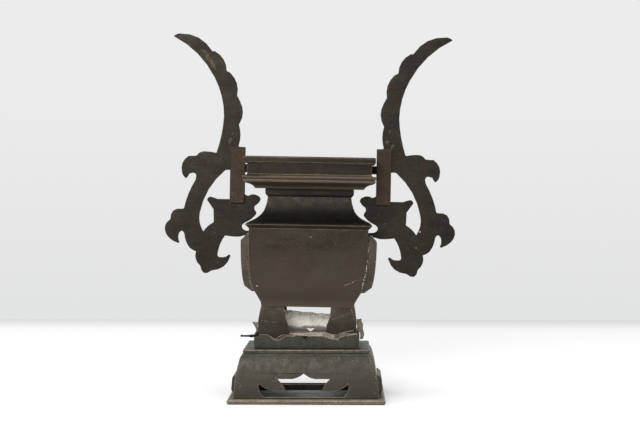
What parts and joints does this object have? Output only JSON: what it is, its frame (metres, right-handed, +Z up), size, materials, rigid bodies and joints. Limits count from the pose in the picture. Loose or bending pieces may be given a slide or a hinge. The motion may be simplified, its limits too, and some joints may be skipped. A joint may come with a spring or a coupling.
{
  "type": "altar incense burner",
  "caption": "Square-bodied tin incense burner with horned openwork ears, legs in a torn-lidded tray on a hollow plinth",
  "frame": {"origin": "on the ground, under the middle of the plinth's foot frame", "axes": "+Z up, X along the width from ear to ear with +X to the right, and the front with the camera's side facing -Y"},
  "size_m": [0.2397, 0.0952, 0.3002],
  "materials": {
    "plinth_tin": "olive-grey oxidised tin, satin, lighter towards its shoulder",
    "dark_tin": "brown-black oxidised tin sheet, satin, with olive mottling and bright worn arrises",
    "ear_tin": "dark brown oxidised cut-out tin plate, satin",
    "reddish_tin": "reddish brown oxidised tin strip with solder at its ends",
    "corroded_tin": "pale corroded and freshly torn thin sheet, speckled"
  },
  "bodies": {
    "root": {"plinth_foot_frame": "plinth_tin", "plinth_shell": "plinth_tin", "plinth_top_plate": "plinth_tin", "plinth_side_panel_left": "plinth_tin", "plinth_side_panel_right": "plinth_tin", "tray_wall": "plinth_tin", "torn_cover_sheet": "corroded_tin", "leg_left_front": "dark_tin", "leg_left_back": "dark_tin", "leg_right_front": "dark_tin", "leg_right_back": "dark_tin", "vessel_body": "dark_tin", "vessel_side_panel_left": "dark_tin", "vessel_side_panel_right": "dark_tin", "neck_collar": "dark_tin", "rim_moulding": "dark_tin", "ear_left": "ear_tin", "ear_right": "ear_tin", "ear_strap_left_front": "reddish_tin", "ear_strap_left_back": "reddish_tin", "ear_strap_right_front": "reddish_tin", "ear_strap_right_back": "reddish_tin"}
  },
  "joints": []
}
